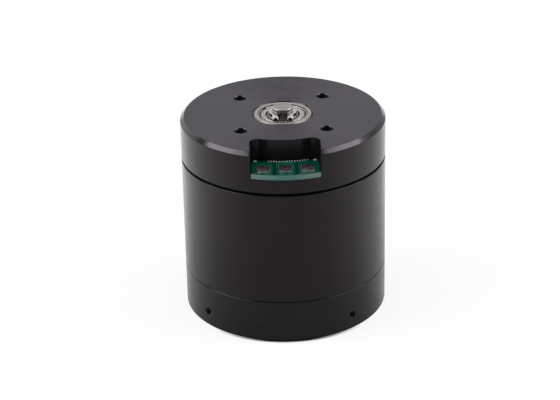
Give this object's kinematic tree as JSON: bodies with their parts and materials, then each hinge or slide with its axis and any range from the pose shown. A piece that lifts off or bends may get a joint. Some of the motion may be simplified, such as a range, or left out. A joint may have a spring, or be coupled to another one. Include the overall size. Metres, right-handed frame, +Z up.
{
  "type": "underwater brushless motor",
  "caption": "Flooded outrunner motor for underwater propulsion: a fixed base with bearings, wound core and wiring notch, and a rotor of can, magnets, end bell and shaft that turns round it.",
  "frame": {"origin": "centre of the rotor's end face, which the motor stands on", "axes": "+Z up along the shaft to the mounting face of the base, -Y to the wiring notch"},
  "size_m": [0.059, 0.059, 0.0604],
  "materials": {
    "anodised_aluminium": "fine blasted, black anodised",
    "blackened_steel": "black coated, satin",
    "board": "green solder mask",
    "tin": "tinned",
    "core_steel": "coated laminations",
    "liner": "moulded",
    "copper": "enamelled wire",
    "spring_steel": "bright",
    "bearing_steel": "ground",
    "shield_steel": "pressed sheet",
    "magnet": "nickel plated",
    "shaft_steel": "ground",
    "ball_steel": "polished",
    "cage": "moulded"
  },
  "bodies": {
    "stator": {"stator_base": "anodised_aluminium", "terminal_board": "board", "phase_pads": "tin", "board_pins": "tin", "phase_leads": "tin", "stator_core": "core_steel", "upper_insulator": "liner", "lower_insulator": "liner", "coils_phase_u": "copper", "coils_phase_v": "copper", "coils_phase_w": "copper", "preload_spring": "spring_steel", "upper_bearing_outer_ring": "bearing_steel", "upper_bearing_shields": "shield_steel", "upper_bearing_snap_rings": "spring_steel", "lower_bearing_outer_ring": "bearing_steel", "lower_bearing_shields": "shield_steel", "lower_bearing_snap_rings": "spring_steel"},
    "rotor": {"rotor_can": "blackened_steel", "magnets": "magnet", "end_bell": "anodised_aluminium", "shaft": "shaft_steel", "circlip": "spring_steel", "upper_bearing_inner_ring": "bearing_steel", "lower_bearing_inner_ring": "bearing_steel"},
    "upper_ball_set": {"upper_bearing_balls": "ball_steel", "upper_bearing_cage": "cage"},
    "lower_ball_set": {"lower_bearing_balls": "ball_steel", "lower_bearing_cage": "cage"}
  },
  "joints": [
    {"name": "rotor_spin", "type": "hinge", "parent": "stator", "child": "rotor", "pos_m": [0, 0, 0], "axis": [0, 0, 1], "continuous": true},
    {"name": "upper_ball_set_roll", "type": "hinge", "parent": "stator", "child": "upper_ball_set", "pos_m": [0, 0, 0.05535], "axis": [0, 0, 1], "continuous": true},
    {"name": "lower_ball_set_roll", "type": "hinge", "parent": "stator", "child": "lower_ball_set", "pos_m": [0, 0, 0.01775], "axis": [0, 0, 1], "continuous": true}
  ],
  "couplings": [
    {"joint": "upper_ball_set_roll", "follows": "rotor_spin", "ratio": 0.36957},
    {"joint": "lower_ball_set_roll", "follows": "rotor_spin", "ratio": 0.36957}
  ]
}
